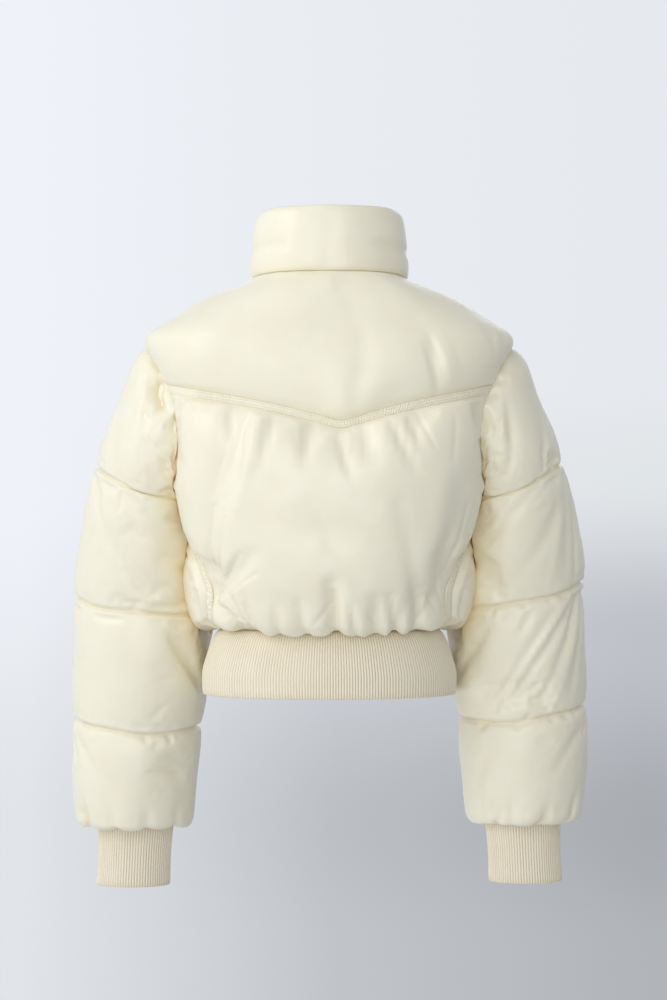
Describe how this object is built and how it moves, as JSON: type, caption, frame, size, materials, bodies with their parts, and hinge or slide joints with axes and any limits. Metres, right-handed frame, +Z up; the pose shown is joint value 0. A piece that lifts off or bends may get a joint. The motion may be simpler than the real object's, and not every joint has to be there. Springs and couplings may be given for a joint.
{
  "type": "puffer jacket",
  "caption": "Cropped padded jacket filled out with no wearer: stand collar, V back yoke, quilted sleeves, rib cuffs and hem, front zip.",
  "frame": {"origin": "middle of the neck opening at the height of the collar seam, where the wearer's shoulders hold the jacket", "axes": "+Z up, +Y the way the wearer faces, +X the wearer's right"},
  "size_m": [0.5726, 0.2844, 0.7465],
  "materials": {
    "shell": "satin",
    "seam_band": "satin",
    "rib_knit": "matte",
    "zip_tape": "matte",
    "zip_teeth": "satin",
    "zip_metal": "satin"
  },
  "bodies": {
    "garment": {"yoke": "shell", "back": "shell", "yoke_band": "seam_band", "front_left": "shell", "side_band_left": "seam_band", "front_right": "shell", "side_band_right": "seam_band", "collar": "shell", "sleeve_left": "shell", "sleeve_right": "shell", "cuff_left": "rib_knit", "cuff_right": "rib_knit", "hem_rib": "rib_knit", "zip_tape_left": "zip_tape", "zip_tape_right": "zip_tape", "zip_teeth": "zip_teeth", "zip_slider": "zip_metal"},
    "zip_pull": {"zip_pull": "zip_metal"}
  },
  "joints": [
    {"name": "pull_swing", "type": "hinge", "parent": "garment", "child": "zip_pull", "pos_m": [0, 0.07961, 0.019], "axis": [1, 0, 0], "range_deg": [0, 150]}
  ]
}
